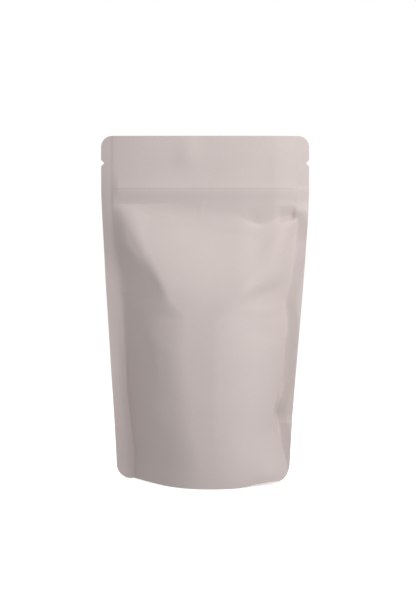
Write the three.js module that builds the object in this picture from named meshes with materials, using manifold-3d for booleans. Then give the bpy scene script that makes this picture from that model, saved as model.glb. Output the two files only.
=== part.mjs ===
// A shut stand-up pouch of matte coated kraft laminate, filled and standing on its opened bottom gusset.
// Two panels are welded up both sides. A press-to-close zip runs inside them under the flat header, whose
// edges have a tear notch each. Below the zip the contents push the panels out: nearly flat facets that meet
// in ridges from the two shoulders, turning into a round belly lower down. The panels end in a thin skirt
// on the table, and the gusset film between them rests flat on it in the middle and rises to a fold at
// each side seal. The pack is shut, so it is one solid body.
//
// Millimetres, +Z up, front towards -Y. The origin is on the table, in the middle of the base.

import * as THREE from "three";
import Module from "manifold-3d";

// The pouch as bought, laid flat.
const WIDTH = 130;
const HEIGHT = 216;
const GUSSET = 37; // each half of the folded bottom film
const SIDE_SEAL = 7;
const FILM = 0.15;
const TOP_RADIUS = 7;
const BOTTOM_RADIUS = 9.5;
const NOTCH_DROP = 16.9; // from the top edge to the tear notch
const NOTCH_DEPTH = 1.8;
const NOTCH_HEIGHT = 4;
const NOTCH_ROUND = 0.5;
const ZIP_DROP = 32.2; // from the top edge to the zip's ridge
const ZIP_RISE = 1;
const SLACK = 0.3; // how far the unwelded film above the shoulders stands off the seals' plane

// The same pouch filled.
const BASE_DRAW = 10.8; // how far the open gusset draws in each side seal at the base
const DRAW_EASE = 0.73;
const LEAN = 1.5; // how far the base stands to the left of the header
const SHOULDER_DROP = 39.8; // from the top edge to the left shoulder
const FRONT_SLOPE = 0.46; // of the front between shoulder and knee
const LEDGE = 1.8; // the left shoulder's crisp ledge
const KNEE_HEIGHT = 121.5; // where the sloping front turns down
const KNEE = 20.3; // how far the panel stands out there
const KNEE_ROUND = 3;
const BELLY = 29.9; // how far a panel would stand out if the belly went on down
const BELLY_RISE = 46; // the length over which it swells below the knee
const TUCK = 0.4; // the panels turn in a little over the skirt
const TUCK_HEIGHT = 14;
const HEADER_BOW = 3.2; // the header's ends lie back from its middle
const HEADER_TILT = 2.2; // and its top edge leans back from the zip
const END_BEND = 0.14; // slope of the header's right end past its fold
const END_FOLD = 43; // where that fold is
const SEAL_CURL = 1.9; // the right side seal's edge curls forward from the belly
const CORNER_PULL = 4; // the right base corner is pulled forward by the panel
const CORNER_PUSH = 3; // and the left one pushed back
const POCKET = 1.1; // how deep the right side seal is dented above the gusset's fold
const ARCH = 1.8; // how far a panel's bottom edge rises between its belly and its free corner
const SKIRT = 5; // height of the weld between panel and gusset at the middle
const FLAT_SHARE = 0.45; // share of the gusset film that the contents press flat on the table
const STEP_EDGE = 1.2; // run of the step where the gusset's layers start in the side seals
const STEP_FADE = 3; // how far into the panel that step fades out

const zipHeight = HEIGHT - ZIP_DROP;
const notchHeight = HEIGHT - NOTCH_DROP;
const sealThickness = 2 * FILM;
const drawTop = zipHeight - 5; // the sides are straight above this height

const clamp01 = (t) => Math.min(1, Math.max(0, t));
const smooth = (t) => {
  const s = clamp01(t);
  return s * s * (3 - 2 * s);
};
const bump = (t) => Math.exp(-t * t);
const mix = (a, b, t) => a + (b - a) * t;

// The lesser of two slopes, their meeting line rounded over a depth of round.
function lesser(a, b, round) {
  if (round <= 0) return Math.min(a, b);
  const near = Math.max(round - Math.abs(a - b), 0) / round;
  return Math.min(a, b) - (near * near * round) / 4;
}

// A ramp that starts softly, over twice the length soft.
function ramp(t, soft) {
  if (t <= -soft) return 0;
  return t >= soft ? t : (t + soft) ** 2 / (4 * soft);
}

// Half the pouch's width at a height: straight beside the header, drawn in below by the open gusset.
function halfWidth(z) {
  const t = clamp01((drawTop - z) / drawTop);
  return WIDTH / 2 - BASE_DRAW * (t * t + DRAW_EASE * (t - t ** 3));
}

// The base stands a little to the left of the header.
const lean = (z) => -LEAN * clamp01((drawTop - z) / drawTop);

// Where the panel leaves the flat seal on the left. The film clings to the seal below the shoulder.
function leftTrough(z) {
  const cling = 2.6 * smooth((152 - z) / 24) * (1 - 0.55 * smooth((100 - z) / 45)) + bump((z - 33) / 14);
  const corner = 2 * smooth((35 - z) / 20);
  return -halfWidth(z) + SIDE_SEAL + cling + corner;
}

// The same on the right, where the film pulls free at the corner, and is pinched in above the gusset's fold.
const pinch = (z) => 3.6 * bump((z - GUSSET - 7) / 9.5);
function rightTrough(z) {
  const cling = 0.8 * smooth((150 - z) / 30) + 2.6 * bump((z - 113) / 11);
  const free = 8 * (1 - smooth(z / 34));
  const x = halfWidth(z) - SIDE_SEAL - cling * smooth((zipHeight - z) / 30) + free;
  return Math.min(x, halfWidth(z) - 0.3) - pinch(z);
}

// The edge below the zip where the panel starts to swell, lower on the right, and how softly it does so.
const shoulder = (x) => HEIGHT - SHOULDER_DROP - 11 * smooth((x + 60) / 80) - 3.6 * bump((x - 34) / 9);
const softness = (x) => 1.2 + 3.8 * smooth((x + 52) / 30) - 4.2 * smooth((x - 18) / 9);

// The ridges where the sloping front meets the flat flanks: in from each shoulder, then down. The left flank
// is creased again above its knee, in a line that meets the ridge at both ends.
const leftRidge = (z) =>
  -25 - 26.5 * ramp((z - 120) / 54, 0.06) + 5 * smooth((90 - z) / 50) + 7 * smooth((45 - z) / 40);
const leftCrease = (z) => -49.3 - 0.114 * ramp(z - 148.6, 2) + 0.86 * ramp(148.6 - z, 2);
const rightRidge = (z) => 22 + 34 * ramp((z - 115.4) / 47.4, 0.12);

// Buckles in the swollen panel. Each lies at x, z, runs at turn degrees from level over a half length of
// run and a half width of across, and lifts the film by rise.
const panelBuckles = [
  { x: 8, z: 144, turn: 90, run: 26, across: 24, rise: -1.6 }, // hollow of the front below the zip
  { x: -33, z: 128, turn: -58, run: 12, across: 5, rise: -1.1 }, // under the left ridge
  { x: -38, z: 108, turn: -20, run: 11, across: 7, rise: 0.6 },
  { x: -34, z: 84, turn: -62, run: 10, across: 5, rise: -1 },
  { x: -34, z: 88, turn: 80, run: 10, across: 7, rise: 1.2 },
  { x: -29.5, z: 78, turn: -75, run: 7, across: 3, rise: 0.6 },
  { x: -32, z: 44, turn: 85, run: 14, across: 8, rise: 1.2 },
  { x: 41, z: 129, turn: 32, run: 13, across: 5, rise: 0.7 }, // puckers from the right seal
  { x: 39, z: 119, turn: 20, run: 15, across: 4, rise: -0.8 },
  { x: 40, z: 109, turn: 4, run: 13, across: 4, rise: 0.8 },
  { x: 37, z: 94, turn: -10, run: 14, across: 6, rise: -0.8 },
];
// The same where both panels bend together.
const sheetBuckles = [
  { x: -11, z: 206, turn: 80, run: 10, across: 7, rise: 1 },
  { x: 49, z: 199, turn: 86, run: 15, across: 7, rise: 0.8 },
];

function lift(buckles, x, z) {
  let total = 0;
  for (const b of buckles) {
    const a = THREE.MathUtils.degToRad(b.turn);
    const along = (x - b.x) * Math.cos(a) + (z - b.z) * Math.sin(a);
    const across = (z - b.z) * Math.cos(a) - (x - b.x) * Math.sin(a);
    total += b.rise * bump(along / b.run) * bump(across / b.across);
  }
  return total;
}

// How far the front panel stands out from the seals' plane.
function swell(x, z) {
  const left = leftTrough(z);
  const pinched = rightTrough(z);
  const right = pinched + pinch(z);
  const fall = ramp(shoulder(x) - z, softness(x));
  if (x <= left || x >= pinched || fall === 0) return 0;
  const ledge = LEDGE * smooth((shoulder(x) - z + 1) / 2.2) * smooth((-x - 33) / 15);
  const slope = FRONT_SLOPE * fall + ledge;
  const below = BELLY - (BELLY - KNEE) * Math.exp((z - KNEE_HEIGHT) / BELLY_RISE);
  const tuck = TUCK * (1 - clamp01(z / TUCK_HEIGHT)) ** 2;
  const front = lesser(slope, below, Math.min(slope, KNEE_ROUND)) - tuck;

  // Facets: the sloping front meets a flat flank on each side, the left one in two facets.
  const ridge = Math.max(leftRidge(z) - left, 1);
  const crease = Math.min(Math.max(leftCrease(z) - left, 0.3 * ridge), 0.95 * ridge);
  const share = mix(crease / ridge, 1, 0.35 * smooth((z - 116) / 8));
  const lower = (share * (x - left)) / crease;
  const upper = 1 - ((1 - share) * (ridge - x + left)) / (ridge - crease);
  const rise = Math.min(lesser(lower, upper, 0.1), (right - x) / Math.max(right - rightRidge(z), 1));
  const leftSharp = 7 * smooth((z - 103) / 19) * smooth(-x / 20);
  const rightSharp = 4.5 * smooth((z - 112) / 10) * smooth(x / 20);
  const crisp = 1 - 0.7 * smooth((-x - 30) / 15);
  const round = Math.min(front * crisp, 8.5 - leftSharp - rightSharp + 5 * smooth((116 - z) / 12));
  const facets = lesser(front, front * rise, round);

  // Near the table, and higher on the right, the section turns into an arc between the troughs.
  const half = (right - left) / 2;
  const radius = (half * half + front * front) / (2 * front);
  const offCentre = x - (left + right) / 2;
  const arc = Math.sqrt(Math.max(0, radius * radius - offCentre * offCentre)) - (radius - front);
  const atTable = 0.35 * smooth((40 - z) / 40);
  const roundness = mix(atTable, 0.85, smooth((112 - z) / 30) * smooth(x / 12));

  // The pinch cuts the section off in a steep edge.
  const edge = smooth((pinched - x + 0.8) / 1.8 + 1 - smooth(pinch(z)));
  const depth = mix(facets, arc, roundness);
  return edge * Math.max(0, depth + lift(panelBuckles, x, z) * smooth(depth / 5));
}

// The zip's relief: the film climbs to its ridge and falls back below it.
function zipRelief(x, z) {
  const d = z - zipHeight;
  const above = (1 - clamp01(d / 14)) ** 2;
  const below = 1 - 0.14 * smooth(-d / 0.8) - 0.86 * smooth((-d - 0.7) / 8);
  const inside = Math.min(x - leftTrough(z), rightTrough(z) - x);
  const slack = SLACK * (1 + 1.2 * bump((z - HEIGHT + 38) / 6)) * smooth((z - 145) / 20);
  return ZIP_RISE * (d > 0 ? above : below) * smooth(inside / 4) + slack * smooth((inside + 0.8) / 1.6);
}

// How far the left side seal curls forward at a distance out from the trough.
function leftCurl(out, z) {
  const upper = 0.22 * smooth((146 - z) / 24) - 0.14 * bump((z - 162) / 26);
  const lower = 0.14 * smooth((95 - z) / 35) + 0.22 * bump((z - 62) / 24);
  return (upper + lower) * out + 0.4 * (1 - Math.exp(-out / 2)) * smooth((135 - z) / 60);
}

// How far the right side seal curls forward, below a crease that runs out and down over it. Above the
// gusset's fold it is dented.
function rightCurl(x, z) {
  const out = x - rightTrough(z);
  const crease = 175.7 - 0.45 * (x - 50);
  const turned = SEAL_CURL * smooth((crease - z) / 9) * (1 + 0.4 * bump((z - 158) / 12));
  const held = 0.7 * smooth((z - 138) / 15) * bump(Math.max(0, -out) / 7);
  const pocket = POCKET * smooth(out / 1.5) * smooth((z - GUSSET + STEP_EDGE) / STEP_EDGE);
  return turned * (clamp01(out / SIDE_SEAL) ** 1.3 - held) - pocket * smooth((GUSSET + 15 - z) / 15);
}

// The plane of the seals: the header bows and leans back, the side seals curl forward beside the belly, and
// the base is turned a little, its right corner forward.
function sealPlane(x, z) {
  const bow = -HEADER_BOW * (x / (WIDTH / 2)) ** 4 * smooth((z - 70) / 90);
  const bend = -END_BEND * ramp(x - END_FOLD, 2) * smooth((z - 168) / 8);
  const tilt = -HEADER_TILT * ramp((z - zipHeight) / ZIP_DROP, 0.3);
  const curl = x < 0 ? leftCurl(Math.max(0, leftTrough(z) - x), z) : rightCurl(x, z);
  const turn = CORNER_PULL * smooth((x - 30) / 18) - CORNER_PUSH * smooth((-x - 18) / 28);
  return bow + bend + tilt + curl + turn * (1 - smooth(z / 42)) + lift(sheetBuckles, x, z);
}

// Half the weld's thickness: two films, and four in the side seals where the gusset is folded in.
function halfSeal(x, z) {
  const inside = Math.min(x - leftTrough(z), rightTrough(z) - x);
  const folded = 1 - smooth((z - GUSSET + STEP_EDGE) / STEP_EDGE);
  return (sealThickness / 2) * (1 + folded * (1 - smooth(inside / STEP_FADE)));
}

const frontDepth = (x, z) => swell(x, z) + zipRelief(x, z);
const backDepth = (x, z) => frontDepth(-x, z);
const frontY = (x, z) => -sealPlane(x, z) - halfSeal(x, z) - frontDepth(x, z);
const backY = (x, z) => -sealPlane(x, z) + halfSeal(x, z) + backDepth(x, z);

// How far a panel's bottom edge rises off the table between its belly and its free corner. The front panel's
// free corner is the right one, the back panel's the left one.
function arch(x, y, z) {
  const rise = (side) => smooth((side - 19) / 22) * smooth((52.5 - side) / 9);
  const forward = smooth(0.5 - (y + sealPlane(x, z)) / 8);
  return ARCH * mix(rise(-x), rise(x), forward) * (1 - smooth(z / 16));
}

const COLUMNS = 30;
const range = (from, to, steps) => Array.from({ length: steps + 1 }, (_, i) => mix(from, to, i / steps));

// Grid rows: close together where the zip and the shoulders bend the film.
function gridRows() {
  return [
    ...range(0, 12, 3),
    ...range(17, GUSSET - STEP_EDGE, 3),
    GUSSET,
    ...range(GUSSET + 5, 156, 20),
    ...range(159.5, zipHeight - 4, 6),
    ...[-0.8, 0, 2.5, 6, 9.5].map((d) => zipHeight + d),
    ...range(197, HEIGHT, 4),
  ];
}

// Grid columns of a row: one in each side seal, then closer together at the flanks than at the middle.
function columnsAt(z) {
  const edge = halfWidth(z);
  const left = leftTrough(z);
  const right = rightTrough(z);
  const inner = range(-1, 1, COLUMNS).map((s) => {
    const spread = 0.75 * s + 0.25 * Math.sin((Math.PI / 2) * s);
    return mix(left, right, (spread + 1) / 2);
  });
  return [-edge, (left - edge) / 2, ...inner, (right + edge) / 2, edge];
}

// A closed body between a front and a back surface over the same rows and columns.
function bodyBetween(rows, columns, front, back) {
  const points = [];
  const triangles = [];
  const wide = columns(rows[0]).length;
  const sheet = wide * rows.length;
  for (const surface of [front, back])
    for (const z of rows) for (const x of columns(z)) points.push(x, surface(x, z), z);
  const at = (side, row, column) => side * sheet + row * wide + column;

  const height = (surface, i) => surface(points[3 * i], points[3 * i + 2]);
  // Cuts a cell along the diagonal that lies nearer to the surface.
  const cell = (surface, a, b, c, d, flip) => {
    const midX = (points[3 * a] + points[3 * c]) / 2;
    const midZ = (points[3 * a + 2] + points[3 * c + 2]) / 2;
    const middle = surface(midX, midZ);
    const ac = Math.abs((height(surface, a) + height(surface, c)) / 2 - middle);
    const bd = Math.abs((height(surface, b) + height(surface, d)) / 2 - middle);
    const faces = ac <= bd ? [[a, b, c], [a, c, d]] : [[a, b, d], [b, c, d]];
    for (const [p, q, r] of faces) triangles.push(...(flip ? [p, r, q] : [p, q, r]));
  };
  for (let row = 0; row + 1 < rows.length; row++)
    for (let column = 0; column + 1 < wide; column++) {
      const corners = (side) => [
        at(side, row, column),
        at(side, row, column + 1),
        at(side, row + 1, column + 1),
        at(side, row + 1, column),
      ];
      cell(front, ...corners(0), false);
      cell(back, ...corners(1), true);
    }
  const quad = (a, b, c, d) => triangles.push(a, b, c, a, c, d);
  const top = rows.length - 1;
  for (let column = 0; column + 1 < wide; column++) {
    quad(at(0, top, column), at(0, top, column + 1), at(1, top, column + 1), at(1, top, column));
    quad(at(1, 0, column), at(1, 0, column + 1), at(0, 0, column + 1), at(0, 0, column));
  }
  for (let row = 0; row < top; row++) {
    quad(at(0, row, 0), at(0, row + 1, 0), at(1, row + 1, 0), at(1, row, 0));
    quad(at(0, row + 1, wide - 1), at(0, row, wide - 1), at(1, row, wide - 1), at(1, row + 1, wide - 1));
  }
  return { points, triangles };
}

const wasm = await Module();
wasm.setup();

const solidFrom = ({ points, triangles }) =>
  new wasm.Manifold(
    new wasm.Mesh({
      numProp: 3,
      vertProperties: new Float32Array(points),
      triVerts: new Uint32Array(triangles),
    }),
  );

// A solid whose outline is drawn in the front view and that goes right through the pouch.
function throughCut(outline) {
  const reach = 40;
  if (THREE.ShapeUtils.isClockWise(outline)) outline.reverse();
  const faces = THREE.ShapeUtils.triangulateShape(outline, []);
  const points = [];
  for (const y of [-reach, reach]) for (const p of outline) points.push(p.x, y, p.y);
  const n = outline.length;
  const triangles = [];
  for (const [a, b, c] of faces) triangles.push(a, b, c, a + n, c + n, b + n);
  for (let i = 0; i < n; i++) {
    const j = (i + 1) % n;
    triangles.push(i, i + n, j, j, i + n, j + n);
  }
  return solidFrom({ points, triangles });
}

const point = (x, z) => new THREE.Vector2(x, z);
const arcPoints = (x, z, radius, from, to, steps) =>
  range(from, to, steps).map((a) => point(x + radius * Math.cos(a), z + radius * Math.sin(a)));

// What is cut away outside a rounded corner; side is 1 on the right and -1 on the left.
function cornerCut(side, top) {
  const radius = top ? TOP_RADIUS : BOTTOM_RADIUS;
  const edgeHeight = top ? HEIGHT : 0;
  const up = top ? 1 : -1;
  const clear = 4;
  const edge = halfWidth(edgeHeight - (up * radius) / 2);
  const outline = [
    ...arcPoints(edge - radius, edgeHeight - up * radius, radius, 0, (up * Math.PI) / 2, 6),
    point(edge - radius, edgeHeight + up * clear),
    point(edge + clear, edgeHeight + up * clear),
    point(edge + clear, edgeHeight - up * radius),
  ].map((p) => point(side * p.x, p.y));
  return throughCut(outline);
}

// A tear notch: a V with a rounded tip.
function notchCut(side) {
  const edge = WIDTH / 2;
  const clear = 2;
  const open = ((NOTCH_HEIGHT / 2) * (NOTCH_DEPTH + clear)) / NOTCH_DEPTH;
  const tip = edge - NOTCH_DEPTH + NOTCH_ROUND;
  const outline = [
    point(edge + clear, notchHeight - open),
    point(edge + clear, notchHeight + open),
    ...arcPoints(tip, notchHeight, NOTCH_ROUND, (2 / 3) * Math.PI, (4 / 3) * Math.PI, 3),
  ].map((p) => point(side * p.x, p.y));
  return throughCut(outline);
}

// Height of the weld between panel and gusset: low at the middle, up to the fold at the side seals.
function weldHeight(x) {
  const out = Math.min(1, Math.abs(x) / (halfWidth(0) - SIDE_SEAL));
  return SKIRT + (GUSSET - SKIRT) * out ** 2.6;
}

// Height of the gusset film: flat on the table in the middle, and up from there to its welds.
function gussetFilm(x, y) {
  const weld = weldHeight(x);
  const reach = Math.max(4, (frontDepth(x, weld) + backDepth(x, weld)) / 2);
  const out = Math.hypot(x / halfWidth(0), (y / reach) ** 2);
  return weld * smooth((out - FLAT_SHARE) / (1 - FLAT_SHARE)) - FILM;
}

// The space under the gusset film, as far in as the panels' inner faces. It has the pouch's own grid, so
// that the skirt's two faces run parallel.
function underGusset() {
  const wall = sealThickness;
  const below = -1;
  const inner = solidFrom(
    bodyBetween(
      [below, ...gridRows().filter((z) => z < GUSSET + 8)],
      (z) => columnsAt(Math.max(0, z)).slice(3, -3),
      (x, z) => frontY(x, Math.max(0, z)) + wall,
      (x, z) => backY(x, Math.max(0, z)) - wall,
    ),
  );

  // Everything below the film. It is drawn as the front of a body that lies on its back, then turned up.
  const across = 30;
  const ends = halfWidth(0);
  const lying = bodyBetween(
    range(-across, across, 24),
    () => range(-ends, ends, 36),
    (x, y) => -gussetFilm(x, y),
    () => 3 - 3 * below,
  );
  const { points } = lying;
  for (let i = 0; i < points.length; i += 3) [points[i + 1], points[i + 2]] = [points[i + 2], -points[i + 1]];
  return inner.intersect(solidFrom(lying));
}

function pouchSolid() {
  let pouch = solidFrom(bodyBetween(gridRows(), columnsAt, frontY, backY));
  for (const side of [-1, 1]) {
    pouch = pouch.subtract(cornerCut(side, true)).subtract(cornerCut(side, false));
    pouch = pouch.subtract(notchCut(side));
  }
  return pouch.subtract(underGusset());
}

function geometryOf(solid) {
  const { numProp, vertProperties, triVerts } = solid.getMesh();
  const positions = new Float32Array((vertProperties.length / numProp) * 3);
  for (let i = 0; i * numProp < vertProperties.length; i++)
    positions.set(vertProperties.subarray(i * numProp, i * numProp + 3), i * 3);
  for (let i = 0; i < positions.length; i += 3) {
    const [x, y, z] = positions.subarray(i, i + 3);
    positions[i] = x + lean(z);
    positions[i + 2] = z + arch(x, y, z);
  }
  const geometry = new THREE.BufferGeometry();
  geometry.setAttribute("position", new THREE.BufferAttribute(positions, 3));
  geometry.setIndex(new THREE.BufferAttribute(triVerts, 1));
  geometry.computeVertexNormals();
  return geometry;
}

const coatedKraft = new THREE.MeshStandardMaterial({ color: 0xcbbfbc, roughness: 0.62, metalness: 0 });

const object = new THREE.Group();
const pouch = new THREE.Mesh(geometryOf(pouchSolid()), coatedKraft);
pouch.name = "pouch";
object.add(pouch);

export default object;
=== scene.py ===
"""A filled stand-up pouch of matte coated kraft laminate, with its stage.

Two panels are welded up both sides and across the folded gusset film between them. The contents push
the panels out below the zip, and press the gusset film flat on the table. The film is modelled as one
closed skin: both panels, the cut edges of the seals, the skirt they end in, and the gusset film inside it.
The forms are the same as those of the solid that it stands for, with the finest marks added.
"""

import math
from collections import namedtuple

import bmesh
import bpy
from bpy.props import FloatProperty, FloatVectorProperty, PointerProperty
from mathutils import Matrix, Vector


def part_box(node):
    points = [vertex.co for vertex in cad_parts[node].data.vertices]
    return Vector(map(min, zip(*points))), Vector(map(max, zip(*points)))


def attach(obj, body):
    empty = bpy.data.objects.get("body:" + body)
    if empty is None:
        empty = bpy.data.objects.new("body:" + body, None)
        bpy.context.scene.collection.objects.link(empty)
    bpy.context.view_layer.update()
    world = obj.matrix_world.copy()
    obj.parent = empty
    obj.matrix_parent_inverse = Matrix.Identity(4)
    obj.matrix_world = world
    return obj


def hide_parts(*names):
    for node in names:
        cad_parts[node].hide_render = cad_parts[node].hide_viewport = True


bl_info = {
    "name": "Stand-up pouch",
    "version": (1, 0, 0),
    "blender": (4, 5, 0),
    "location": "View3D > Sidebar > Pouch",
    "description": "Builds a filled stand-up pouch of coated kraft laminate, and its stage",
    "category": "Add Mesh",
}

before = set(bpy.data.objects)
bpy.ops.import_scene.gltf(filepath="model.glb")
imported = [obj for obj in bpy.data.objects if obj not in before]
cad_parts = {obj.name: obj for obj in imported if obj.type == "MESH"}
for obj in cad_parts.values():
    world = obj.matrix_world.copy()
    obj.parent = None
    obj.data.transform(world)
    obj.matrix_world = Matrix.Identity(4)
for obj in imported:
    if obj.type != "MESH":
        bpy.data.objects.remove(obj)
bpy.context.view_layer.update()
NODE_LOW, NODE_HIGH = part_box("pouch")

MM = 0.001


def linear(hex_colour):
    """An sRGB colour written as 0xRRGGBB, as linear red, green and blue."""
    channels = [(hex_colour >> shift & 255) / 255 for shift in (16, 8, 0)]
    return [c / 12.92 if c <= 0.04045 else ((c + 0.055) / 1.055) ** 2.4 for c in channels]


def length(name, description, millimetres):
    """A size that a user may change."""
    return FloatProperty(
        name=name,
        description=description,
        default=millimetres * MM,
        min=0,
        precision=4,
        subtype="DISTANCE",
        unit="LENGTH",
    )


def colour(name, description, hex_colour):
    """A colour that a user may change."""
    return FloatVectorProperty(
        name=name, description=description, default=linear(hex_colour), min=0, max=1, subtype="COLOR"
    )


class PouchSizes(bpy.types.PropertyGroup):
    """The pouch as bought, laid flat, and what the filling does to it."""

    width: length("Width", "Flat width over both side seals", (NODE_HIGH.x - NODE_LOW.x) / MM)
    height: length("Height", "Height of the panels, from the table to the top edge", NODE_HIGH.z / MM)
    gusset: length("Gusset", "Height of the gusset film's fold in the side seals", 37)
    side_seal: length("Side seal", "Width of each side seal", 7)
    film: length("Film", "Thickness of one layer of laminate", 0.15)
    top_radius: length("Top corners", "Radius of the top corners", 7)
    bottom_radius: length("Bottom corners", "Radius of the side seals' bottom corners", 9.5)
    notch_drop: length("Notch drop", "From the top edge down to the tear notches", 16.9)
    notch_depth: length("Notch depth", "How deep the tear notches go in", 1.8)
    notch_height: length("Notch height", "How wide the tear notches open", 4)
    zip_drop: length("Zip drop", "From the top edge down to the zip's ridge", 32.2)
    zip_rise: length("Zip rise", "How far the zip lifts the panel", 1)
    slack: length("Slack", "How far the unwelded film above the shoulders stands off the seals' plane", 0.3)
    base_draw: length("Base draw", "How far the open gusset draws in each side at the base", 10.8)
    base_lean: length("Lean", "How far the base stands to the left of the header", 1.5)
    knee_height: length("Knee height", "Height at which the sloping front turns down", 121.5)
    knee: length("Knee", "How far the panel stands out there", 20.3)
    belly: length("Belly", "How far a panel would stand out if it swelled on down", 29.9)
    belly_rise: length("Belly rise", "Length over which the panel swells below the knee", 46)
    tuck: length("Tuck", "How far the panels turn in over the skirt", 0.4)
    tuck_height: length("Tuck height", "Height up to which they turn in", 14)
    header_bow: length("Header bow", "How far the header's ends lie back from its middle", 3.2)
    header_tilt: length("Header tilt", "How far the top edge leans back from the zip", 2.2)
    seal_curl: length("Seal curl", "How far the side seals' edges curl forward", 1.9)
    corner_pull: length("Corner pull", "How far the right base corner is pulled forward", 4)
    corner_push: length("Corner push", "How far the left base corner is pushed back", 3)
    arch_rise: length("Arch", "How far a panel's edge rises between its belly and its free corner", 1.8)
    skirt: length("Skirt", "Height of the weld between panel and gusset at the middle", 5)


class PouchFinish(bpy.types.PropertyGroup):
    """The laminate's colours and the grain of its paper."""

    paper: colour("Paper", "Coated kraft paper, pale pinkish taupe", 0xCEC2BF)
    shade: colour("Shade", "The same paper where its pulp lies thicker", 0xC8BBB8)
    core: colour("Cut edge", "Uncoated layers in the cut edges", 0xDDD3CE)
    fibre: length("Fibre", "Length of the paper's fibres as they show", 1.6)
    mottle: length("Mottle", "Width of the paper's soft clouds", 22)


class PouchStage(bpy.types.PropertyGroup):
    """The floor, the lights and the camera."""

    floor: colour("Floor", "Plain pale floor", 0xF7F6F5)
    floor_radius: length("Floor radius", "Radius of the round floor", 30000)
    distance: length("Distance", "From the camera to the point that it looks at", 800)
    aim_height: length("Aim height", "Height of the point that the camera looks at", 114.1)
    aim_right: length("Aim right", "How far to the right of the middle that point lies", 1.7)
    elevation: FloatProperty(
        name="Elevation",
        description="How far above level the camera stands",
        default=math.radians(5.07),
        subtype="ANGLE",
        unit="ROTATION",
    )


def clamp01(t):
    return min(1.0, max(0.0, t))


def smooth(t):
    s = clamp01(t)
    return s * s * (3 - 2 * s)


def bump(t):
    return math.exp(-t * t)


def mix(a, b, t):
    return a + (b - a) * t


def onset(value, start, run):
    """Rises smoothly from 0 at the start to 1 a run further on. A run below 0 goes down or to the left."""
    return smooth((value - start) / run)


def peak(value, centre, spread):
    """1 at the centre, dying away on both sides of it."""
    return bump((value - centre) / spread)


def lesser(a, b, rounding):
    """The lesser of two slopes, their meeting line rounded over a depth of rounding."""
    if rounding <= 0:
        return min(a, b)
    near = max(rounding - abs(a - b), 0) / rounding
    return min(a, b) - near * near * rounding / 4


def ramp(t, soft):
    """A ramp that starts softly, over twice the length soft."""
    if t <= -soft:
        return 0
    return t if t >= soft else (t + soft) ** 2 / (4 * soft)


def steps(start, end, count):
    return [mix(start, end, i / count) for i in range(count + 1)]


# A dent or fold in the film, at x, z. It runs at turn degrees from level, over a half length of run and a
# half width of across, and lifts the film by rise. Millimetres.
Buckle = namedtuple("Buckle", "x z turn run across rise")

PANEL_BUCKLES = [
    Buckle(8, 144, 90, 26, 24, -1.6),  # hollow of the front below the zip
    Buckle(-33, 128, -58, 12, 5, -1.1),  # under the left ridge
    Buckle(-38, 108, -20, 11, 7, 0.6),
    Buckle(-34, 84, -62, 10, 5, -1),
    Buckle(-34, 88, 80, 10, 7, 1.2),
    Buckle(-29.5, 78, -75, 7, 3, 0.6),
    Buckle(-32, 44, 85, 14, 8, 1.2),
    Buckle(41, 129, 32, 13, 5, 0.7),  # puckers from the right seal
    Buckle(39, 119, 20, 15, 4, -0.8),
    Buckle(40, 109, 4, 13, 4, 0.8),
    Buckle(37, 94, -10, 14, 6, -0.8),
]

# The same in the header, where both panels bend together.
SHEET_BUCKLES = [
    Buckle(-11, 206, 80, 10, 7, 1),
    Buckle(49, 199, 86, 15, 7, 0.8),
]

# A tick in the front film alone, under the zip.
TICK = Buckle(-2.5, 170, 80, 4.5, 1.6, 0.25)


def lift(buckles, x, z):
    """How far a set of buckles lifts the film at a point."""
    total = 0
    for b in buckles:
        c, s = math.cos(math.radians(b.turn)), math.sin(math.radians(b.turn))
        along = (x - b.x) * c + (z - b.z) * s
        across = (z - b.z) * c - (x - b.x) * s
        total += b.rise * bump(along / b.run) * bump(across / b.across)
    return total


# A point of the front, seen straight on. Millimetres.
Point = namedtuple("Point", "x z")


def ridge_line(knee, shoulder, z, soft):
    """x on a ridge that comes straight up to the knee, and leans from there out to the shoulder."""
    return knee.x + (shoulder.x - knee.x) * ramp((z - knee.z) / (shoulder.z - knee.z), soft)


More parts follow.
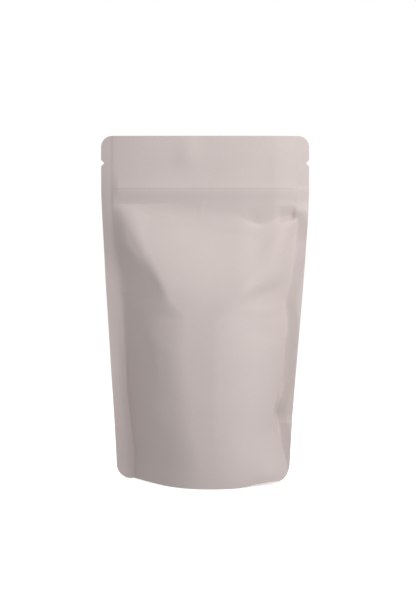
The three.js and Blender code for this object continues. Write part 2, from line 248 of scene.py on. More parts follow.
class Form:
    """The filled pouch's forms, in millimetres: x across, z up, and depths towards the front.

    Sizes have names. The numbers that onset and peak take are places along x or z, and how far a form runs
    from there."""

    # The outline and the welds.
    DRAW_BELOW_ZIP = 5  # the sides are straight down to this far below the zip
    DRAW_EASE = 0.73  # how evenly they are drawn in from there down
    NOTCH_BLUNT = 0.85  # share of its full point at which a notch is cut off blunt
    LEAST_SEAL = 0.3  # how far inside the outline a panel has to end
    STEP_EDGE = 1.2  # run of the step where the gusset's layers start in the side seals
    STEP_FADE = 3  # how far into the panel that step fades out
    WELD_CURVE = 2.6  # power of the curve in which the gusset's weld climbs to the side seals

    # How much further in than the side seals the panel ends.
    LEFT_CLING, LEFT_CORNER = 2.6, 2
    CLING_EASE = 0.55  # share of the left cling that is lost down the belly
    RIGHT_CLING, PUCKER_CLING = 0.8, 2.6
    FREE_CORNER = 8  # the other way: how far the right base corner is free of the weld
    FREE_HEIGHT = 34  # up to which it is free
    PINCH, PINCH_OVER_FOLD, PINCH_SPREAD = 3.6, 7, 9.5
    PINCH_EDGE, PINCH_PAST = 1.8, 0.8  # run of the panel's edge there, and how far past the trough it ends
    TROUGH_SOFT, KNEE_SOFT = 1.2, 2.4  # softness of the left edge, and what is added beside the knee
    RIGHT_SOFT = 1

    # The shoulders, and the sloping front between them.
    SHOULDER_DROP = 39.8  # of the left one, below the top edge
    SHOULDER_FALL = 11  # how much lower the right one is
    SHOULDER_DIP = 3.6  # and how much lower still it dips half way to the middle
    SHOULDER_SOFT, MIDDLE_SOFT = 1.2, 3.8  # softness of the left one, and what is added between the two
    RIGHT_CRISP = 4.2  # what is taken off again at the right one
    FRONT_SLOPE = 0.46
    LEDGE = 1.8  # the left shoulder's crisp ledge
    KNEE_ROUNDING = 3
    BUCKLE_DEPTH = 5  # a panel shallower than this has shallower buckles

    # The flanks' ridges and crease.
    LEAST_FLANK = 1
    LEFT_KNEE, LEFT_SHOULDER = Point(-25, 120), Point(-51.5, 174)
    RIGHT_KNEE, RIGHT_SHOULDER = Point(22, 115.4), Point(56, 162.8)
    LEFT_FOOT, LEFT_HEEL = 5, 7  # how far the left ridge turns in again below the knee, and near the base
    CREASE_BEND = Point(-49.3, 148.6)
    CREASE_ABOVE, CREASE_BELOW = 0.114, 0.86  # its slopes, outwards above the bend and inwards below it
    CREASE_LEAST, CREASE_MOST = 0.3, 0.95  # its least and greatest shares of the way from trough to ridge
    CREASE_FILL = 0.35  # how far the creased flank is filled out above the knee
    RIDGE_ROUNDING, LOW_ROUNDING = 8.5, 5  # depth of the ridges' rounding, and how much more it is low down
    LEFT_SHARP, RIGHT_SHARP = 7, 4.5  # what is taken off it from each knee up
    SHOULDER_SHARP = 0.7  # share of the front's depth that it stays short of at the left shoulder

    # How far the section is an arc in place of facets.
    BASE_ROUND, RIGHT_ROUND = 0.35, 0.85

    # The zip's profile.
    ZIP_TOP = 14  # run over which the film climbs to the ridge
    ZIP_LIP, LIP_RUN = 0.14, 0.8  # share of the climb that falls away at once below the ridge
    ZIP_UNDER, UNDER_RUN = 0.7, 8  # where and how the rest falls away
    SLACK_MORE = 1.2  # share that is added to the slack just above the shoulders

    # The seals' plane.
    END_FOLD = 43  # where the header's right end is folded back
    END_BEND = 0.14  # slope past that fold
    CRUSHED = 0.7  # how far the zip's right end is crushed forward
    LEFT_SLOPE, LEFT_EXTRA = 0.22, 0.14  # of the left seal beside the belly, and what is added low down
    LEFT_ROLL = 0.4  # its roll forward next to the trough
    CURL_CREASE = Point(50, 176.7)  # a point on the slanting crease below which the right seal curls
    CREASE_SLANT = 0.45
    CURL_POWER = 1.3  # power of the curve in which it curls
    CURL_MORE = 0.4  # share that is added to its curl beside the right knee's ridge
    HELD, HELD_REACH = 0.7, 7  # share of that curl by which the panel beside it is held back, and how far
    POCKET_STEP, POCKET = 0.5, 0.6  # how far the right seal sinks back above the gusset's fold
    POCKET_OVER_FOLD = 0.6

    # How far the front film sinks in above the right shoulder, and how much further beside the seal.
    SUNK, HOOK = 0.9, 1.5

    ARCH_MIX = 8  # depth over which the arch under the front panel turns into the back one's
    FLAT_SHARE = 0.45  # share of the gusset film that lies flat on the table
    LEAST_REACH = 4  # least half depth that the gusset film's curve is drawn over

    CROWDING = 0.25  # how much closer the mesh's columns lie at the flanks

    def __init__(self, sizes):
        for name in PouchSizes.__annotations__:
            setattr(self, name, getattr(sizes, name) / MM)
        self.zip_height = self.height - self.zip_drop
        self.notch_at = self.height - self.notch_drop
        self.draw_top = self.zip_height - self.DRAW_BELOW_ZIP
        self.weld = 2 * self.film

    def half_width(self, z):
        """Half the pouch's width: straight beside the header, drawn in below by the open gusset."""
        t = clamp01((self.draw_top - z) / self.draw_top)
        return self.width / 2 - self.base_draw * (t * t + self.DRAW_EASE * (t - t**3))

    def outline(self, z):
        """Half the width with the rounded corners and the tear notches taken off."""
        half = self.half_width(z)
        for radius, into in (
            (self.top_radius, z - self.height + self.top_radius),
            (self.bottom_radius, self.bottom_radius - z),
        ):
            if into > 0:
                half -= radius - math.sqrt(max(0, radius * radius - into * into))
        open_share = 1 - abs(z - self.notch_at) / (self.notch_height / 2)
        return half - self.notch_depth * min(max(0, open_share), self.NOTCH_BLUNT) / self.NOTCH_BLUNT

    def lean(self, z):
        """The base stands a little to the left of the header."""
        return -self.base_lean * clamp01((self.draw_top - z) / self.draw_top)

    def left_trough(self, z):
        """Where the panel leaves the flat seal on the left. The film clings to it below the shoulder."""
        eased = 1 - self.CLING_EASE * onset(z, 100, -45)
        cling = self.LEFT_CLING * onset(z, 152, -24) * eased + peak(z, 33, 14)
        corner = self.LEFT_CORNER * onset(z, 35, -20)
        seal = -self.half_width(z) + self.side_seal + cling + corner
        return max(seal, -self.outline(z) + self.LEAST_SEAL)

    def right_swell(self, z):
        """Where the arc of the panel ends on the right, where the film pulls free at the corner."""
        cling = self.RIGHT_CLING * onset(z, 150, -30) + self.PUCKER_CLING * peak(z, 113, 11)
        free = self.FREE_CORNER * (1 - onset(z, 0, self.FREE_HEIGHT))
        seal = self.half_width(z) - self.side_seal - cling * onset(z, self.zip_height, -30) + free
        return min(seal, self.half_width(z) - self.LEAST_SEAL)

    def right_trough(self, z):
        """Where the panel leaves the seal on the right: in its arc, or short of it at pinch and corner."""
        return min(self.right_swell(z), self.outline(z) - self.LEAST_SEAL) - self.pucker(z)

    def pucker(self, z):
        """How far the panel's right edge is pinched in above the gusset's fold."""
        return self.PINCH * peak(z, self.gusset + self.PINCH_OVER_FOLD, self.PINCH_SPREAD)

    def inside(self, x, z):
        """How far inside the panel's nearer edge a point lies."""
        return min(x - self.left_trough(z), self.right_trough(z) - x)

    def shoulder(self, x):
        """The edge below the zip where the panel starts to swell, lower on the right."""
        fall = self.SHOULDER_FALL * onset(x, -60, 80)
        return self.height - self.SHOULDER_DROP - fall - self.SHOULDER_DIP * peak(x, 34, 9)

    def softness(self, x):
        """How softly the panel starts to swell: crisply at the left shoulder, and more so at the right."""
        middle = self.MIDDLE_SOFT * onset(x, -52, 30)
        return self.SHOULDER_SOFT + middle - self.RIGHT_CRISP * onset(x, 18, 9)

    def left_ridge(self, z):
        """Where the sloping front meets the flat flank: in from the shoulder to the knee, then down."""
        upper = ridge_line(self.LEFT_KNEE, self.LEFT_SHOULDER, z, soft=0.06)
        return upper + self.LEFT_FOOT * onset(z, 90, -50) + self.LEFT_HEEL * onset(z, 45, -40)

    def left_crease(self, z):
        """A second crease in the left flank, which meets the ridge at both ends."""
        bend = self.CREASE_BEND
        above = self.CREASE_ABOVE * ramp(z - bend.z, soft=2)
        return bend.x - above + self.CREASE_BELOW * ramp(bend.z - z, soft=2)

    def right_ridge(self, z):
        """The same ridge on the right."""
        return ridge_line(self.RIGHT_KNEE, self.RIGHT_SHOULDER, z, soft=0.12)

    def sloping_front(self, x, z):
        """How far the front alone stands out, sloping from the shoulder to the knee and bellied below."""
        drop = self.shoulder(x) - z
        ledge = self.LEDGE * onset(drop, -1, 2.2) * onset(x, -33, -15)
        slope = self.FRONT_SLOPE * ramp(drop, self.softness(x)) + ledge
        below = self.belly - (self.belly - self.knee) * math.exp((z - self.knee_height) / self.belly_rise)
        tuck = self.tuck * (1 - clamp01(z / self.tuck_height)) ** 2
        return lesser(slope, below, min(slope, self.KNEE_ROUNDING)) - tuck

    def flanks(self, x, z, left_soft, right_soft):
        """Share of the front's depth that the flat flanks reach. The left one is creased above its knee."""
        left = self.left_trough(z)
        right = self.right_swell(z)
        climb = ramp(x - left, left_soft)
        ridge = max(self.left_ridge(z) - left, self.LEAST_FLANK)
        crease = max(self.left_crease(z) - left, self.CREASE_LEAST * ridge)
        crease = min(crease, self.CREASE_MOST * ridge)
        share = mix(crease / ridge, 1, self.CREASE_FILL * onset(z, 116, 8))
        lower = share * climb / crease
        upper = 1 - (1 - share) * (ridge - climb) / (ridge - crease)
        right_rise = ramp(right - x, right_soft) / max(right - self.right_ridge(z), self.LEAST_FLANK)
        return min(lesser(lower, upper, rounding=0.1), right_rise)

    def ridge_rounding(self, x, z, front):
        """How deep the ridges' rounding goes."""
        sharp = self.LEFT_SHARP * onset(z, 103, 19) * onset(x, 0, -20)
        sharp += self.RIGHT_SHARP * onset(z, 112, 10) * onset(x, 0, 20)
        crisp = 1 - self.SHOULDER_SHARP * onset(x, -30, -15)
        return min(front * crisp, self.RIDGE_ROUNDING - sharp + self.LOW_ROUNDING * onset(z, 116, -12))

    def swell(self, x, z):
        """How far the front panel stands out from the seals' plane."""
        left = self.left_trough(z)
        right = self.right_swell(z)
        left_soft = min(self.TROUGH_SOFT + self.KNEE_SOFT * peak(z, 114, 22), (left + self.outline(z)) / 2)
        right_soft = min(self.RIGHT_SOFT, (self.half_width(z) - right) / 2)
        front = self.sloping_front(x, z)
        if front <= 0 or x <= left - left_soft or x >= right + right_soft:
            return 0

        # The sloping front meets a flat flank on each side.
        flank = front * self.flanks(x, z, left_soft, right_soft)
        facets = lesser(front, flank, self.ridge_rounding(x, z, front))

        # Near the table, and higher on the right, the section turns into an arc between the troughs.
        half = (right - left) / 2
        radius = (half * half + front * front) / (2 * front)
        off_centre = x - (left + right) / 2
        arc = math.sqrt(max(0, radius * radius - off_centre * off_centre)) - (radius - front)
        roundness = self.BASE_ROUND * onset(z, 40, -40)
        if x > 0:
            roundness = mix(roundness, self.RIGHT_ROUND, onset(z, 112, -30) * onset(x, 0, 12))
        depth = mix(facets, arc, roundness)
        depth += lift(PANEL_BUCKLES, x, z) * onset(depth, 0, self.BUCKLE_DEPTH)

        # At the pinch the panel ends sharply, short of its arc.
        before_edge = (self.right_trough(z) - x + self.PINCH_PAST) / self.PINCH_EDGE
        return smooth(before_edge + 1 - smooth(self.pucker(z))) * max(0, depth)

    def zip_relief(self, x, z):
        """The zip's relief: the film climbs over its top edge and falls back below it."""
        d = z - self.zip_height
        if d > 0:
            climb = (1 - clamp01(d / self.ZIP_TOP)) ** 2
        else:
            lip = self.ZIP_LIP * onset(d, 0, -self.LIP_RUN)
            climb = 1 - lip - (1 - self.ZIP_LIP) * onset(d, -self.ZIP_UNDER, -self.UNDER_RUN)
        inside = self.inside(x, z)
        slack = self.slack * (1 + self.SLACK_MORE * peak(z, self.height - 38, 6)) * onset(z, 145, 20)
        return self.zip_rise * climb * onset(inside, 0, 4) + slack * onset(inside, -0.8, 1.6)

    def left_curl(self, x, z):
        """How far the left seal leans and rolls forward, out from the trough."""
        out = max(0, self.left_trough(z) - x)
        slope = self.LEFT_SLOPE * (onset(z, 146, -24) + peak(z, 62, 24))
        slope += self.LEFT_EXTRA * (onset(z, 95, -35) - peak(z, 162, 26))
        return slope * out + self.LEFT_ROLL * (1 - math.exp(-out / 2)) * onset(z, 135, -60)

    def right_curl(self, x, z):
        """Below its crease the right seal curls forward, and above the gusset's fold it sinks back."""
        right = self.right_trough(z)
        out = clamp01((x - right) / self.side_seal) ** self.CURL_POWER
        crease = self.CURL_CREASE.z - self.CREASE_SLANT * (x - self.CURL_CREASE.x)
        turned = self.seal_curl * onset(z, crease, -9) * (1 + self.CURL_MORE * peak(z, 158, 12))
        held = self.HELD * onset(z, 138, 15) * bump(max(0, right - x) / self.HELD_REACH)
        above = z - self.gusset - self.POCKET_OVER_FOLD
        pocket = self.POCKET_STEP * onset(above, -self.STEP_EDGE, self.STEP_EDGE)
        pocket += self.POCKET * onset(above, 0, 4)
        pocket *= onset(x, right, 1.5) * onset(above, 14, -13)
        return turned * (out - held) - pocket

    def seal_plane(self, x, z):
        """The plane of the seals: the header bows and leans back, the side seals curl forward beside the
        belly, and the base is turned a little, its right corner forward."""
        bow = -self.header_bow * (x / (self.width / 2)) ** 4 * onset(z, 70, 90)
        bow -= self.END_BEND * ramp(x - self.END_FOLD, soft=2) * onset(z, 168, 8)
        tilt = -self.header_tilt * ramp((z - self.zip_height) / self.zip_drop, soft=0.3)
        curl = self.left_curl(x, z) if x < 0 else self.right_curl(x, z)
        turn = self.corner_pull * onset(x, 30, 18) - self.corner_push * onset(x, -18, -28)
        turn *= 1 - onset(z, 0, 42)
        crushed = self.CRUSHED * onset(x, 55.5, 3) * onset(z, 186, -4.5) * onset(z, 168, 13)
        return bow + tilt + curl + turn + crushed + lift(SHEET_BUCKLES, x, z)

    def half_seal(self, x, z):
        """Half the weld's thickness: two films, and four in the side seals that hold the gusset's fold."""
        folded = 1 - onset(z, self.gusset - self.STEP_EDGE, self.STEP_EDGE)
        return self.weld / 2 * (1 + folded * (1 - onset(self.inside(x, z), 0, self.STEP_FADE)))

    def depth(self, x, z):
        return self.swell(x, z) + self.zip_relief(x, z)

    def sag(self, x, z):
        """How far the front film sinks in above the right shoulder, where it ends in a crisp step."""
        above = z - self.shoulder(x)
        sunk = self.SUNK * onset(x, 24, 8) * onset(above, 10, -11)
        sunk += self.HOOK * onset(x, 43, 5) * onset(x, 59, -6) * clamp01((172.5 - z) / 6)
        return sunk * onset(above, -3.5, 3.5)

    def front_y(self, x, z):
        fine = (lift([TICK], x, z) - self.sag(x, z)) * onset(self.inside(x, z), -1, 4)
        return -self.seal_plane(x, z) - self.half_seal(x, z) - self.depth(x, z) - fine

    def back_y(self, x, z):
        """The back panel swells like the front one seen from behind."""
        return -self.seal_plane(x, z) + self.half_seal(x, z) + self.depth(-x, z)

    def arch(self, x, z):
        """How far a panel's bottom edge rises off the table between its belly and its free corner."""
        return self.arch_rise * onset(x, 19, 22) * onset(x, 52.5, -9) * (1 - onset(z, 0, 16))

    def arch_below(self, x, y):
        """The same under the gusset, from the one panel's edge to the other's."""
        forward = smooth(0.5 - (y + self.seal_plane(x, 0)) / self.ARCH_MIX)
        return mix(self.arch(-x, 0), self.arch(x, 0), forward)

    def weld_height(self, x):
        """Height of the weld of panel and gusset, low at the middle and up to the fold at the seals."""
        out = min(1, abs(x) / (self.half_width(0) - self.side_seal))
        return self.skirt + (self.gusset - self.skirt) * out**self.WELD_CURVE

    def gusset_film(self, x, y):
        """Height of the gusset film: flat on the table in the middle, and up from there to its welds."""
        weld = self.weld_height(x)
        reach = max(self.LEAST_REACH, (self.depth(x, weld) + self.depth(-x, weld)) / 2)
        out = math.hypot(x / self.half_width(0), (y / reach) ** 2)
        return weld * onset(out, self.FLAT_SHARE, 1 - self.FLAT_SHARE)

    def heights(self):
        """The mesh's rows, close together where the outline or the film turns sharply."""
        turns = [math.radians(a) for a in steps(0, 90, 10)]
        low, high = self.bottom_radius, self.height - self.top_radius
        fold_start = self.gusset - self.STEP_EDGE
        shoulders_low, zip_low, zip_top = 155, 180, 187
        notch_low = self.notch_at - self.notch_height / 2
        notch_top = self.notch_at + self.notch_height / 2
        ranges = [
            [low * (1 - math.cos(a)) for a in turns],
            steps(low, fold_start, 28),
            steps(fold_start, self.gusset, 4),
            steps(self.gusset, shoulders_low, 114),
            steps(shoulders_low, zip_low, 50),
            steps(zip_low, zip_top, 24),
            steps(zip_top, notch_low, 12),
            steps(notch_low, notch_top, 20),
            steps(notch_top, high, 9),
            [high + self.top_radius * math.sin(a) for a in turns],
        ]
        return [0.0] + [z for stretch in ranges for z in stretch[1:]]

    def columns(self, z, inner, seal):
        """The mesh's columns in a row: seal cells in each side seal, and closer together at the flanks."""
        edge = self.outline(z)
        left = self.left_trough(z)
        right = self.right_trough(z)
        between = []
        for s in steps(-1, 1, inner):
            spread = mix(s, math.sin(math.pi / 2 * s), self.CROWDING)
            between.append(mix(left, right, (spread + 1) / 2))
        return steps(-edge, left, seal)[:-1] + between + steps(right, edge, seal)[1:]


def edges_along(verts):
    """The edges that join each vertex to the next."""
    found = []
    for a, b in zip(verts, verts[1:]):
        found.append(next(e for e in a.link_edges if e.other_vert(a) == b))
    return found


def panel(bm, places):
    """A grid laid on rows of places. Returns its vertices row by row."""
    rows, columns = len(places) - 1, len(places[0]) - 1
    made = bmesh.ops.create_grid(bm, x_segments=columns, y_segments=rows, size=1)["verts"]
    grid = [[None] * (columns + 1) for _ in places]
    for v in made:
        i = round((v.co.x + 1) / 2 * columns)
        j = round((v.co.y + 1) / 2 * rows)
        grid[j][i] = v
    for row, line in zip(grid, places):
        for v, place in zip(row, line):
            v.co = place
    return grid


CUT_EDGE = "cut_edge"  # marks the faces that show the laminate's layers
THICKEST_WELD = 1  # where the panels lie further apart, the film between them isn't a cut edge
INNER_CELLS = 130
SEAL_CELLS = 8
SKIRT_CELLS = 4
GUSSET_CUTS = 35
GUSSET_SKEW = 3  # how far apart across the pouch the ends of one line of the gusset film may lie
RECESS_START = 2  # columns in from the troughs to where the space under the gusset begins
RECESS_CLOSE = 8  # run over which that space closes towards each end
POLE_IN = 0.4  # how far in from its start each end of it comes to a point
MERGE = 0.002


def rim(grid, first, last):
    """A panel's outline, without the part of its bottom edge from the first to the last column."""
    left = [row[0] for row in grid[1:]]
    right = [row[-1] for row in grid[1:]]
    return grid[0][first::-1] + left + grid[-1][1:-1] + right[::-1] + grid[0][:last - 1:-1]


def panel_places(form, side, panel_y):
    """The places of a panel's vertices, row by row. Side is 1 at the front and -1 at the back."""
    places = []
    for z in form.heights():
        row = form.columns(z, INNER_CELLS, SEAL_CELLS)
        places.append([(side * x, panel_y(side * x, z), z + form.arch(x, z)) for x in row])
    return places


def pouch_skin(form):
    """The pouch's closed skin, in metres."""
    bm = bmesh.new()
    front = panel(bm, panel_places(form, 1, form.front_y))
    back = panel(bm, panel_places(form, -1, form.back_y))

    # The edges of the welded films: up one side, over the top and down the other, and along the bottom edge
    # in the side seals. Where the two welds stand apart at a corner, film closes the gap.
    first = SEAL_CELLS + RECESS_START
    last = len(front[0]) - 1 - first
    rims = [rim(front, first, last), rim(back, first, last)]
    cut_edge = bm.faces.layers.float.new(CUT_EDGE)
    welded = bmesh.ops.bridge_loops(bm, edges=edges_along(rims[0]) + edges_along(rims[1]))["faces"]
    for f in welded:
        apart = max(abs(e.verts[0].co.y - e.verts[1].co.y) for e in f.edges)
        f[cut_edge] = float(apart < THICKEST_WELD)

    # The skirt's cut edge and its inner face up to the weld, then the gusset film from weld to weld.
    lines = [grid[0][first:last + 1] for grid in (front, back)]
    ends = min(abs(line[0].co.x) for line in lines) - POLE_IN
    welds = [
        skirt(bm, form, lines[0], 1, form.front_y, ends),
        skirt(bm, form, lines[1], -1, form.back_y, ends),
    ]
    bridge = bmesh.ops.bridge_loops(bm, edges=edges_along(welds[0]) + edges_along(welds[1]))
    ties = [e for e in bridge["edges"] if abs(e.verts[0].co.x - e.verts[1].co.x) < GUSSET_SKEW]
    cut = bmesh.ops.subdivide_edges(bm, edges=ties, cuts=GUSSET_CUTS)["geom_inner"]
    for v in cut:
        if isinstance(v, bmesh.types.BMVert):
            v.co.z = form.gusset_film(v.co.x, v.co.y) * recess_share(ends, v.co.x)
            v.co.z += form.arch_below(v.co.x, v.co.y)
    bmesh.ops.remove_doubles(bm, verts=bm.verts, dist=MERGE)
    bmesh.ops.holes_fill(bm, edges=bm.edges, sides=4)
    for v in bm.verts:
        v.co.x += form.lean(v.co.z)
    bmesh.ops.transform(bm, matrix=Matrix.Scale(MM, 4), verts=bm.verts)
    bmesh.ops.recalc_face_normals(bm, faces=bm.faces)
    return bm


def recess_share(ends, x):
    """The space under the gusset closes towards its ends, where the films are welded together."""
    return onset(abs(x), ends, -RECESS_CLOSE)


def skirt(bm, form, line, side, panel_y, ends):
    """Turns a panel's bottom edge in and up to the weld. Returns the vertices at the weld."""
    for level in range(SKIRT_CELLS + 1):
        made = bmesh.ops.extrude_edge_only(bm, edges=edges_along(line))
        fresh = {v for v in made["geom"] if isinstance(v, bmesh.types.BMVert)}
        line = [next(e.other_vert(v) for e in v.link_edges if e.other_vert(v) in fresh) for v in line]
        for v in line:
            x = v.co.x
            z = form.weld_height(x) * recess_share(ends, x) * level / SKIRT_CELLS
            v.co = (x, panel_y(x, z) + side * form.weld, z + form.arch(side * x, z))
        for v in (line[0], line[-1]):
            x = math.copysign(ends, v.co.x)
            y = -form.seal_plane(x, 0)
            v.co = (x, y, form.arch_below(x, y))
    return line


SHARP_EDGE = math.radians(50)


def finished(name, bm):
    """The piece whose mesh this is, shaded smooth with its cut edges sharp."""
    for f in bm.faces:
        f.smooth = True
    for e in bm.edges:
        e.smooth = len(e.link_faces) == 2 and e.calc_face_angle(0) < SHARP_EDGE
    mesh = bpy.data.meshes.new(name)
    bm.to_mesh(mesh)
    bm.free()
    piece = bpy.data.objects.new(name, mesh)
    bpy.context.scene.collection.objects.link(piece)
    return piece


def add(tree, kind, settings=None, links=None):
    """Adds a node. Settings are its attributes or its sockets' values, and links go to its inputs."""
    node = tree.nodes.new(kind)
    for key, value in (settings or {}).items():
        if isinstance(key, str) and hasattr(node, key):
            setattr(node, key, value)
        else:
            node.inputs[key].default_value = value
    for key, socket in (links or {}).items():
        tree.links.new(socket, node.inputs[key])
    return node


def new_material(name):
    material = bpy.data.materials.new(name)
    material.use_nodes = True
    material.node_tree.nodes.clear()
    return material, material.node_tree


def coated_kraft(finish):
    """Kraft paper with a matte lacquer, printed a flat tint and laminated to a barrier film. The lacquer
    spreads every highlight wide. The pulp shows through as soft clouds, and the fibres as a short grain."""
    material, tree = new_material("coated_kraft")
    place = add(tree, "ShaderNodeTexCoord").outputs["Object"]
    clouds = add(
        tree,
        "ShaderNodeTexNoise",
        {"Scale": 1 / finish.mottle, "Detail": 4.0, "Roughness": 0.55},
        {"Vector": place},
    )
    # Fibres lie along the web, which runs up the pouch, so the grain is drawn out along Z.
    drawn = add(tree, "ShaderNodeMapping", {"Scale": (3.2, 3.2, 1.0)}, {"Vector": place})
    fibres = add(
        tree,
        "ShaderNodeTexNoise",
        {"Scale": 1 / finish.fibre, "Detail": 3.0, "Roughness": 0.6},
        {"Vector": drawn.outputs["Vector"]},
    )
    cloud_share = add(
        tree,
        "ShaderNodeMapRange",
        {"From Min": 0.3, "From Max": 0.7, "To Min": 0.0, "To Max": 0.4},
        {"Value": clouds.outputs["Fac"]},
    )
    fibre_share = add(
        tree,
        "ShaderNodeMapRange",
        {"From Min": 0.35, "From Max": 0.7, "To Min": 0.0, "To Max": 0.35},
        {"Value": fibres.outputs["Fac"]},
    )
    share = add(
        tree,
        "ShaderNodeMath",
        {"operation": "ADD"},
        {0: cloud_share.outputs["Result"], 1: fibre_share.outputs["Result"]},
    )
    tint = add(
        tree,
        "ShaderNodeMix",
        {"data_type": "RGBA", 6: (*finish.paper, 1), 7: (*finish.shade, 1)},
        {0: share.outputs[0]},
    )
    # In the cut edges the paper's bare middle shows between the films.
    bare = add(tree, "ShaderNodeAttribute", {"attribute_name": CUT_EDGE}).outputs["Fac"]
    skin = add(
        tree,
        "ShaderNodeMix",
        {"data_type": "RGBA", 7: (*finish.core, 1)},
        {0: bare, 6: tint.outputs[2]},
    )
    gloss = add(
        tree,
        "ShaderNodeMapRange",
        {"From Min": 0.3, "From Max": 0.7, "To Min": 0.54, "To Max": 0.62},
        {"Value": fibres.outputs["Fac"]},
    )
    relief = add(
        tree,
        "ShaderNodeBump",
        {"Strength": 0.25, "Distance": 0.06 * MM},
        {"Height": fibres.outputs["Fac"]},
    )
    surface = add(
        tree,
        "ShaderNodeBsdfPrincipled",
        {"IOR": 1.46, "Specular IOR Level": 0.4, "Sheen Weight": 0.08, "Sheen Roughness": 0.5},
        {
            "Base Color": skin.outputs[2],
            "Roughness": gloss.outputs["Result"],
            "Normal": relief.outputs["Normal"],
        },
    )
    add(tree, "ShaderNodeOutputMaterial", links={"Surface": surface.outputs["BSDF"]})
    return material


GRIT = 6 * MM  # width of the light table's faint unevenness


def opal_acrylic(stage):
    """Opal acrylic of a light table: white and nearly matte, lit a little from below, so that shadows stay
    pale."""
    material, tree = new_material("opal_acrylic")
    place = add(tree, "ShaderNodeTexCoord").outputs["Object"]
    grit = add(tree, "ShaderNodeTexNoise", {"Scale": 1 / GRIT, "Detail": 2.0}, {"Vector": place})
    relief = add(
        tree, "ShaderNodeBump", {"Strength": 0.05, "Distance": 0.1 * MM}, {"Height": grit.outputs["Fac"]}
    )
    surface = add(
        tree,
        "ShaderNodeBsdfPrincipled",
        {
            "Base Color": (*stage.floor, 1),
            "Roughness": 0.85,
            "Specular IOR Level": 0.2,
            "Emission Color": (*stage.floor, 1),
            "Emission Strength": 0.6,
        },
        {"Normal": relief.outputs["Normal"]},
    )
    add(tree, "ShaderNodeOutputMaterial", links={"Surface": surface.outputs["BSDF"]})
    return material


class POUCH_OT_film(bpy.types.Operator):
    """Build the pouch's closed skin of laminate: panels, seals, skirt and gusset film"""

    bl_idname = "pouch.film"
    bl_label = "Pouch film"

    def execute(self, context):
        scene = context.scene
        piece = finished("pouch_film", pouch_skin(Form(scene.pouch_sizes)))
        piece.data.materials.append(coated_kraft(scene.pouch_finish))
        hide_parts("pouch")
        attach(piece, "root")
        return {"FINISHED"}


VIEW_TALL = 375.2 * MM  # height of the picture at the distance of the pouch
LIT_HEIGHT = 110 * MM  # height of the point that the lights face
FLOOR_GAP = 0.2 * MM  # how far the floor lies under the pouch, so that the two never share a plane
FLOOR_SIDES = 96


def add_camera(stage):
    camera = bpy.data.cameras.new("camera")
    camera.sensor_fit = "VERTICAL"
    camera.sensor_height = 24
    camera.lens = camera.sensor_height * stage.distance / VIEW_TALL
    camera.clip_end = 200
    holder = bpy.data.objects.new("camera", camera)
    target = Vector((stage.aim_right, 0, stage.aim_height))
    back = Vector((0, -math.cos(stage.elevation), math.sin(stage.elevation)))
    holder.location = target + back * stage.distance
    holder.rotation_euler = back.to_track_quat("Z", "Y").to_euler()
    bpy.context.scene.collection.objects.link(holder)
    bpy.context.scene.camera = holder


def add_softbox(name, azimuth, elevation, distance, size, power):
    """A square soft light that faces the pouch. Angles are in degrees from its front, azimuth to the right,
    lengths in metres, and the power in watts."""
    light = bpy.data.lights.new(name, "AREA")
    light.energy = power
    light.size = size
    holder = bpy.data.objects.new(name, light)
    a, e = math.radians(azimuth), math.radians(elevation)
    towards = Vector((math.sin(a) * math.cos(e), -math.cos(a) * math.cos(e), math.sin(e)))
    holder.location = Vector((0, 0, LIT_HEIGHT)) + towards * distance
    holder.rotation_euler = towards.to_track_quat("Z", "Y").to_euler()
    holder.visible_camera = False
    bpy.context.scene.collection.objects.link(holder)


def add_world(strength):
    """Even light from all round, seen as a white backdrop."""
    world = bpy.data.worlds.new("studio")
    world.use_nodes = True
    tree = world.node_tree
    tree.nodes.clear()
    seen = add(tree, "ShaderNodeLightPath").outputs["Is Camera Ray"]
    lighting = add(tree, "ShaderNodeBackground", {"Color": (1, 1, 1, 1), "Strength": strength})
    backdrop = add(tree, "ShaderNodeBackground", {"Color": (1, 1, 1, 1), "Strength": 1.0})
    both = add(
        tree,
        "ShaderNodeMixShader",
        links={0: seen, 1: lighting.outputs["Background"], 2: backdrop.outputs["Background"]},
    )
    add(tree, "ShaderNodeOutputWorld", links={"Surface": both.outputs["Shader"]})
    bpy.context.scene.world = world


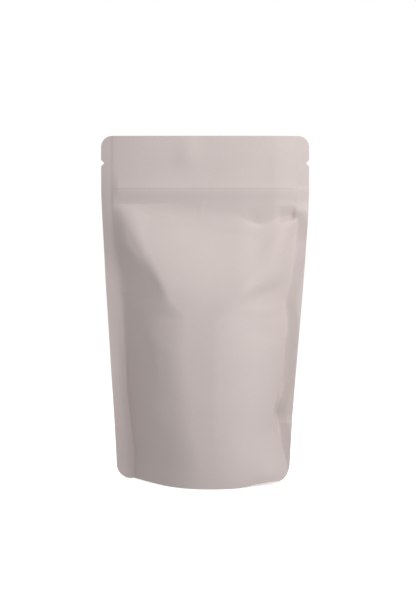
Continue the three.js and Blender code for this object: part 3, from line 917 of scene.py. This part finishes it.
class POUCH_OT_stage(bpy.types.Operator):
    """Build the stage: a plain pale floor, soft lights and the camera"""

    bl_idname = "pouch.stage"
    bl_label = "Stage"

    def execute(self, context):
        stage = context.scene.pouch_stage
        bm = bmesh.new()
        bmesh.ops.create_circle(bm, cap_ends=True, segments=FLOOR_SIDES, radius=stage.floor_radius)
        bmesh.ops.translate(bm, vec=(0, 0, -FLOOR_GAP), verts=bm.verts)
        mesh = bpy.data.meshes.new("floor")
        bm.to_mesh(mesh)
        bm.free()
        floor = bpy.data.objects.new("floor", mesh)
        context.scene.collection.objects.link(floor)
        floor.data.materials.append(opal_acrylic(stage))
        # The world's even light stands in for what the floor would throw back at the pouch.
        floor.visible_diffuse = False
        add_camera(stage)
        add_softbox("side_softbox", azimuth=45, elevation=5, distance=0.32, size=0.2, power=0.4)
        add_softbox("top_softbox", azimuth=30, elevation=72, distance=0.34, size=0.24, power=0.465)
        add_softbox("back_softbox", azimuth=205, elevation=25, distance=0.34, size=0.24, power=0.4)
        add_world(strength=0.5)
        context.scene.view_settings.view_transform = "Standard"
        return {"FINISHED"}


class POUCH_PT_sidebar(bpy.types.Panel):
    """The pouch's sizes and finish, with a button for each operator"""

    bl_idname = "POUCH_PT_sidebar"
    bl_label = "Stand-up pouch"
    bl_space_type = "VIEW_3D"
    bl_region_type = "UI"
    bl_category = "Pouch"

    def draw(self, context):
        scene = context.scene
        for group in (scene.pouch_sizes, scene.pouch_finish, scene.pouch_stage):
            box = self.layout.box()
            for name in type(group).__annotations__:
                box.prop(group, name)
        for operator in (POUCH_OT_film, POUCH_OT_stage):
            self.layout.operator(operator.bl_idname)


CLASSES = (PouchSizes, PouchFinish, PouchStage, POUCH_OT_film, POUCH_OT_stage, POUCH_PT_sidebar)


def register():
    for cls in CLASSES:
        bpy.utils.register_class(cls)
    bpy.types.Scene.pouch_sizes = PointerProperty(type=PouchSizes)
    bpy.types.Scene.pouch_finish = PointerProperty(type=PouchFinish)
    bpy.types.Scene.pouch_stage = PointerProperty(type=PouchStage)


def unregister():
    del bpy.types.Scene.pouch_stage
    del bpy.types.Scene.pouch_finish
    del bpy.types.Scene.pouch_sizes
    for cls in reversed(CLASSES):
        bpy.utils.unregister_class(cls)


def main():
    register()
    bpy.ops.pouch.stage()
    bpy.ops.pouch.film()


if __name__ == "__main__":
    main()
